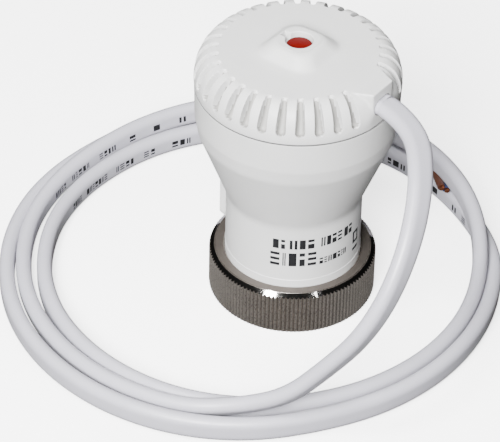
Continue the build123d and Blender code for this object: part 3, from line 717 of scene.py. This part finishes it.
def lead_frames(line):
    """Tangent, wide side and thin side of the flat lead at each point of a line."""
    at = distances(line)
    tangents = np.gradient(line, axis=0)
    tangents /= np.linalg.norm(tangents, axis=1)[:, None]
    keys = [k for k, _ in WIDE_KEYS]
    wide = np.stack([np.interp(at, keys, [d[i] for _, d in WIDE_KEYS]) for i in range(3)], -1)
    wide -= tangents * (wide * tangents).sum(1)[:, None]
    wide /= np.linalg.norm(wide, axis=1)[:, None]
    return tangents, wide, np.cross(tangents, wide)


def lead():
    """The flat twin lead as one mesh along its spline."""
    line = evenly(curve_line(LEAD_CURVE), 0.8)
    _, wide, thin = lead_frames(line)
    section = stadium(CABLE_WIDTH, CABLE_THICK)
    inside = np.ones(len(line))
    inside[[0, -1]] = 0.93
    grid = line[:, None] + inside[:, None, None] * (
        section[None, :, :1] * wide[:, None] + section[None, :, 1:] * thin[:, None])
    piece = grid_object("flat_lead", grid, closed_rows=False, capped=True, smooth_angle=60)
    dress(piece, "sheath_lilac_grey", "housing", "cable_drop", "cable_coil")
    return piece, line


def print_cells(start, stop, widths, gap):
    """Widths of printed marks spread between two places, as (from, to) pairs."""
    scale = (stop - start) / (sum(widths) + gap * (len(widths) - 1))
    places, at = [], start
    for width in widths:
        places.append((at, at + width * scale))
        at += (width + gap) * scale
    return places


def mark_strokes(kind, low, high):
    """Strokes of one generic mark within its cell: (share across, share across, low, high)."""
    bar = (high - low) * 0.2
    if kind == 0:
        return [(0.0, 1.0, low, high)]
    if kind == 1:
        return [(0.0, 0.36, low, high), (0.64, 1.0, low, high)]
    if kind == 2:
        return [(0.0, 1.0, low + k * bar, low + (k + 1) * bar) for k in (0, 2, 4)]
    return [(0.0, 1.0, low, low + 2.6 * bar), (0.0, 1.0, high - 1.3 * bar, high)]


def decal_mesh(name, patches):
    """Thin closed slabs from (outer grid, inner grid) pairs of points."""
    points, faces = [], []
    for outer, inner in patches:
        start, (rows, columns) = len(points), outer.shape[:2]
        points += outer.reshape(-1, 3).tolist() + inner.reshape(-1, 3).tolist()
        size = rows * columns

        def at(side, i, j):
            return start + side * size + i * columns + j

        for i in range(rows - 1):
            for j in range(columns - 1):
                for side in (0, 1):
                    here = (at(side, i, j), at(side, i, j + 1))
                    faces.append(here + (at(side, i + 1, j + 1), at(side, i + 1, j)))
        edge = [(0, j) for j in range(columns)] + [(i, columns - 1) for i in range(1, rows)]
        edge += [(rows - 1, j) for j in range(columns - 2, -1, -1)] + [(i, 0) for i in range(rows - 2, 0, -1)]
        for a, b in zip(edge, edge[1:] + edge[:1]):
            faces.append((at(0, *a), at(0, *b), at(1, *b), at(1, *a)))
    return mesh_object(name, points, faces, 60)


def neck_patch(start, stop, low, high):
    """Slab on the neck between two azimuths in degrees and two heights."""
    angles = np.radians(np.linspace(start, stop, max(2, round(abs(stop - start) / 1.5) + 1)))
    heights = np.array((low, high))[:, None] + 0 * angles
    shells = []
    for r in (NECK_R + 0.03, NECK_R - 0.05):
        x, y = r * np.cos(angles) + 0 * heights, r * np.sin(angles) + 0 * heights
        shells.append(np.stack([x, y, heights], -1))
    return tuple(shells)


NECK_ROWS = [                   # azimuths, heights, mark widths, gap: rows of plain marks, no lettering
    (-107.5, -72.5, 20.8, 23.3, (1.2, 0.8, 0.0, 1.5, 1.2, 1.3), 0.45),
    (-66.5, -33.0, 20.8, 23.3, (1.2, 1.2, 1.3, 1.4, 0.0, 1.4, 1.2), 0.45),
    (-109.5, -70.5, 16.1, 19.7, (2.1, 0.7, 1.7, 1.2, 1.9), 0.65),
    (-67.5, -40.0, 16.0, 17.6, (1.0, 0.8, 1.0, 1.2, 0.8, 0.5, 0.9), 0.35),
]


def neck_print():
    """Rows of plain marks where such a head is printed, and an outlined square over a bar."""
    patches = []
    for row, (start, stop, low, high, widths, gap) in enumerate(NECK_ROWS):
        for k, (a, b) in enumerate(print_cells(start, stop, widths, gap)):
            if b - a < 0.1:
                continue
            for left, right, bottom, top in mark_strokes((k * 3 + row) % 4, low, high):
                patches.append(neck_patch(a + (b - a) * left, a + (b - a) * right, bottom, top))
    for low, high in ((14.6, 15.3), (16.6, 17.2), (19.2, 19.8)):
        patches.append(neck_patch(-30.0, -21.0, low, high))
    for start in (-30.0, -23.0):
        patches.append(neck_patch(start, start + 2.0, 17.2, 19.2))
    return dress(decal_mesh("neck_print", patches), "rubber_black", "housing", look=INK)


LEAD_PRINT = [                  # turn angles where a group of marks runs on the lead's inner face
    (203, 208, 4), (211, 218, 5), (222, 228, 4), (233, 235, 1), (241, 243, 1), (249, 251, 1),
    (257, 259, 1), (562, 567, 4), (570, 580, 7), (584, 591, 4), (595, 599, 2), (605, 611, 3),
    (618, 626, 5), (634, 642, 5), (664, 667, 2), (671, 677, 3), (688, 690, 1), (697, 699, 1),
    (702, 704, 1),
]


def lead_print(line):
    """Small plain marks along the inner face of the lead's turns."""
    at = distances(line)
    tangents, wide, thin = lead_frames(line)
    about = line[:, :2] - COIL_CENTRE
    angle = np.degrees(np.unwrap(np.arctan2(-about[:, 1], about[:, 0])))
    coil = at > 100
    patches = []
    for group, (start, stop, count) in enumerate(LEAD_PRINT):
        first, last = (np.interp(a, angle[coil], at[coil]) for a in (start, stop))
        widths = [1.0 + 0.35 * ((k * 5 + group) % 3) for k in range(count)]
        for k, (a, b) in enumerate(print_cells(first, last, widths, 0.6)):
            for left, right, bottom, top in mark_strokes((k + group) % 4, -0.8, 0.8):
                places = np.linspace(a + (b - a) * left, a + (b - a) * right, 3)
                mid, w, t = (np.stack([np.interp(places, at, v[:, i]) for i in range(3)], -1)
                             for v in (line, wide, thin))
                shells = [np.stack([mid + h * w - t * out for h in (bottom, top)])
                          for out in (CABLE_THICK / 2 + 0.02, CABLE_THICK / 2 - 0.05)]
                patches.append(tuple(shells))
    return dress(decal_mesh("lead_print", patches), "rubber_black", "housing", look=INK)


def strands(name, line, radius, count, twist):
    """Bundle of thin wires twisted about a line."""
    points, faces = [], []
    at = distances(line)
    for k in range(count):
        a = 2 * math.pi * k / max(count - 1, 1) + at * twist
        away = 0 if k == count - 1 else radius * 0.66
        tangent = (line[-1] - line[0]) / np.linalg.norm(line[-1] - line[0])
        side = np.cross(tangent, (0, 0, 1.0))
        side /= np.linalg.norm(side)
        up = np.cross(side, tangent)
        path = line + away * (np.outer(np.cos(a), side) + np.outer(np.sin(a), up))
        grid = tube_grid(path, radius * 0.33, 8)
        start = len(points)
        points += grid.reshape(-1, 3).tolist()
        rows, columns = grid.shape[:2]
        faces += [tuple(start + i for i in face) for face in ring_faces(rows, columns, False)]
        faces.append(tuple(range(start, start + columns)))
        faces.append(tuple(range(start + (rows - 1) * columns, start + rows * columns)))
    return mesh_object(name, points, faces)


CORE_PATH = [                   # middle of the pair of cores, from the sheath up over the next turn
    (31.2, 38.6, 2.9),
    (32.2, 36.6, 3.4),
    (32.7, 34.8, 5.6),
    (33.3, 32.4, 6.7),
    (34.2, 28.4, 6.7),
    (34.9, 24.6, 6.6),
]
BARE_SHARE = 0.95               # where the insulation ends along that path


def lead_end():
    """The two stripped cores beyond the sheath, with their bare strands."""
    keys = np.array(CORE_PATH)
    at = distances(keys) / distances(keys)[-1]
    fine = np.linspace(0, 1, 120)
    line = np.stack([np.interp(fine, at, keys[:, k]) for k in range(3)], -1)
    blur = np.hanning(21) / np.hanning(21).sum()
    padded = np.pad(line, ((10, 10), (0, 0)), "edge")
    line = np.stack([np.convolve(padded[:, k], blur, "valid") for k in range(3)], -1)
    along = np.gradient(line, axis=0)
    side = np.stack([along[:, 1], -along[:, 0], 0 * fine], -1)
    side /= np.linalg.norm(side, axis=1)[:, None]
    up = np.array((0, 0, 1.0))
    made = []
    for sign, colour in ((1, "core_brown"), (-1, "core_blue")):
        turn = 0.9 * fine[:, None]
        pair = line + sign * 0.98 * (np.cos(turn) * side + 0.55 * np.sin(turn) * up)
        cut = fine <= BARE_SHARE
        core = grid_object(f"lead_{colour}", tube_grid(pair[cut], 0.9, 20), closed_rows=False, capped=True)
        made.append(dress(core, colour, "housing", f"end_{colour}"))
        bare = strands(f"lead_strands_{colour[5:]}", pair[fine > BARE_SHARE - 0.03], 0.62, 8, 0.9)
        made.append(dress(bare, "copper_tin", "housing", *(("end_ferrules",) if sign > 0 else ())))
    return made


LEAD_CURVE = lead_curve("lead_route", lead_points())


# ---- stage, light and camera -------------------------------------------------------------------
def floor():
    """Plain pale floor, far larger than the view; it is kept out of bounced light and reflections."""
    mesh = bpy.data.meshes.new("floor")
    size = 3.0
    corners = [(-size, -size, 0), (size, -size, 0), (size, size, 0), (-size, size, 0)]
    mesh.from_pydata(corners, [], [(0, 1, 2, 3)])
    made, _, _, shader, _ = new_material("pale_floor")
    shader.inputs["Base Color"].default_value = (0.9, 0.9, 0.9, 1)
    shader.inputs["Roughness"].default_value = 0.9
    shader.inputs["Specular IOR Level"].default_value = 0.1
    shader.inputs["Emission Color"].default_value = (1, 1, 1, 1)
    shader.inputs["Emission Strength"].default_value = 2.5
    mesh.materials.append(made)
    ground = add_object("floor", mesh)
    ground.visible_diffuse = False
    ground.visible_glossy = False


def softbox(name, azimuth, elevation, distance, size, power):
    """Square softbox at a direction and distance in millimetres, aimed at the head."""
    data = bpy.data.lights.new(name, "AREA")
    data.shape = "RECTANGLE"
    data.size, data.size_y = size * MM, size * MM
    data.energy = power
    a, e = math.radians(azimuth), math.radians(elevation)
    away = Vector((math.cos(e) * math.cos(a), math.cos(e) * math.sin(a), math.sin(e)))
    lamp = add_object(name, data)
    lamp.location = (away * distance + Vector((0, 0, 30))) * MM
    lamp.rotation_euler = (-away).to_track_quat("-Z", "Y").to_euler()
    return lamp


def surroundings():
    """Dim studio round the object: grey below, dark from the horizon up, brighter on the left."""
    world = bpy.data.worlds.new("studio")
    bpy.context.scene.world = world
    world.use_nodes = True
    nodes, links = world.node_tree.nodes, world.node_tree.links
    split = nodes.new("ShaderNodeSeparateXYZ")
    links.new(nodes.new("ShaderNodeTexCoord").outputs["Generated"], split.inputs["Vector"])
    spread = nodes.new("ShaderNodeMapRange")
    spread.inputs["From Min"].default_value = -1.0
    links.new(split.outputs["Z"], spread.inputs["Value"])
    ramp = nodes.new("ShaderNodeValToRGB")
    bands = [(0.0, 0.50), (0.30, 0.50), (0.44, 0.05), (0.62, 0.02), (0.86, 0.03), (1.0, 0.06)]
    while len(ramp.color_ramp.elements) < len(bands):
        ramp.color_ramp.elements.new(0.5)
    for element, (place, level) in zip(ramp.color_ramp.elements, bands):
        element.position = place
        element.color = (level, level * 0.99, level * 0.97, 1)
    links.new(spread.outputs["Result"], ramp.inputs["Fac"])
    links.new(ramp.outputs["Color"], nodes["Background"].inputs["Color"])
    across = nodes.new("ShaderNodeMapRange")
    across.inputs["From Min"].default_value = -1.0
    across.inputs["To Min"].default_value = 0.85
    across.inputs["To Max"].default_value = 0.35
    links.new(split.outputs["X"], across.inputs["Value"])
    links.new(across.outputs["Result"], nodes["Background"].inputs["Strength"])


def lighting():
    """Large key at the front left, two small accents and a weak fill behind."""
    surroundings()
    softbox("key_softbox", -106, 38, 750, 320, 30)
    softbox("left_softbox", -137, 69, 750, 110, 5)
    softbox("right_softbox", -33, 67, 750, 60, 0.8)
    back = softbox("back_softbox", 100, 32, 900, 420, 4.5)
    back.visible_glossy = False


def camera():
    """Long lens from the front, 39 degrees above the horizon, turned a little about its own axis."""
    data = bpy.data.cameras.new("camera")
    data.sensor_width = 36
    data.lens = 216
    data.clip_start, data.clip_end = 0.05, 20
    eye = add_object("camera", data)
    down, roll = math.radians(39.132), math.radians(1.275)
    ahead = Vector((0, math.cos(down), -math.sin(down)))
    right = Vector((1, 0, 0))
    up = right.cross(ahead)
    turned_right = right * math.cos(roll) + up * math.sin(roll)
    turned_up = up * math.cos(roll) - right * math.sin(roll)
    basis = Matrix((turned_right, turned_up, -ahead)).transposed().to_4x4()
    eye.matrix_world = Matrix.Translation(Vector((-9.53, -513.17, 433.84)) * MM) @ basis
    bpy.context.scene.camera = eye


# ---- build -------------------------------------------------------------------------------------
dress_cad_nodes()
lower_housing()
cap()
union_nut()
button()
main_spring()
lead_piece, lead_line = lead()
end_pieces = lead_end()
neck_print()
lead_marks = lead_print(lead_line)
bpy.data.objects.remove(LEAD_CURVE)
floor()
lighting()
camera()
